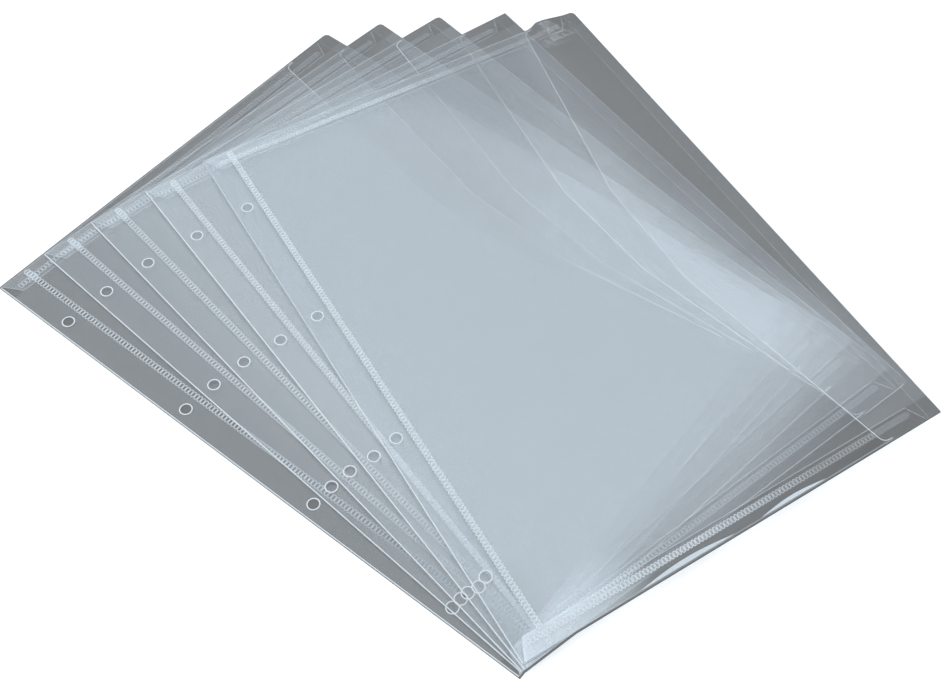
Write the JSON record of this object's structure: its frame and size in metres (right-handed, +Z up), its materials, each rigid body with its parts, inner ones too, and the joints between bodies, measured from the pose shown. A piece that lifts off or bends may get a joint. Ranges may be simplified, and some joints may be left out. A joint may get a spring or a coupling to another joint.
{
  "type": "sheet protector set",
  "caption": "Fanned set of clear side-loading sheet protectors for A4 paper, with punched binding strips, welded seams, folded hems and thumb-cut mouths.",
  "frame": {"origin": "under the middle of the lowest pocket, on the surface it lies on", "axes": "+X from the lowest pocket's binding edge to its mouth, +Y up the page, +Z up off the surface"},
  "size_m": [0.3383, 0.4053, 0.0052],
  "materials": {
    "clear_film": "clear gloss film",
    "weld": "milky fused film"
  },
  "bodies": {
    "pocket_1": {"pocket_1_back_film": "clear_film", "pocket_1_front_film": "clear_film", "pocket_1_binding_weld": "weld", "pocket_1_top_weld": "weld", "pocket_1_bottom_weld": "weld"},
    "pocket_2": {"pocket_2_back_film": "clear_film", "pocket_2_front_film": "clear_film", "pocket_2_binding_weld": "weld", "pocket_2_top_weld": "weld", "pocket_2_bottom_weld": "weld"},
    "pocket_3": {"pocket_3_back_film": "clear_film", "pocket_3_front_film": "clear_film", "pocket_3_binding_weld": "weld", "pocket_3_top_weld": "weld", "pocket_3_bottom_weld": "weld"},
    "pocket_4": {"pocket_4_back_film": "clear_film", "pocket_4_front_film": "clear_film", "pocket_4_binding_weld": "weld", "pocket_4_top_weld": "weld", "pocket_4_bottom_weld": "weld"},
    "pocket_5": {"pocket_5_back_film": "clear_film", "pocket_5_front_film": "clear_film", "pocket_5_binding_weld": "weld", "pocket_5_top_weld": "weld", "pocket_5_bottom_weld": "weld"}
  },
  "joints": [
    {"name": "pocket_2_fan", "type": "hinge", "parent": "pocket_1", "child": "pocket_2", "pos_m": [-0.1164, -0.162, 0], "axis": [0, 0, -1], "range_deg": [-4.42, 10]},
    {"name": "pocket_3_fan", "type": "hinge", "parent": "pocket_1", "child": "pocket_3", "pos_m": [-0.1163, -0.1619, 0], "axis": [0, 0, -1], "range_deg": [-9.38, 10]},
    {"name": "pocket_4_fan", "type": "hinge", "parent": "pocket_1", "child": "pocket_4", "pos_m": [-0.1155, -0.1627, 0], "axis": [0, 0, -1], "range_deg": [-14.82, 10]},
    {"name": "pocket_5_fan", "type": "hinge", "parent": "pocket_1", "child": "pocket_5", "pos_m": [-0.1143, -0.1605, 0], "axis": [0, 0, -1], "range_deg": [-20.72, 10]}
  ]
}
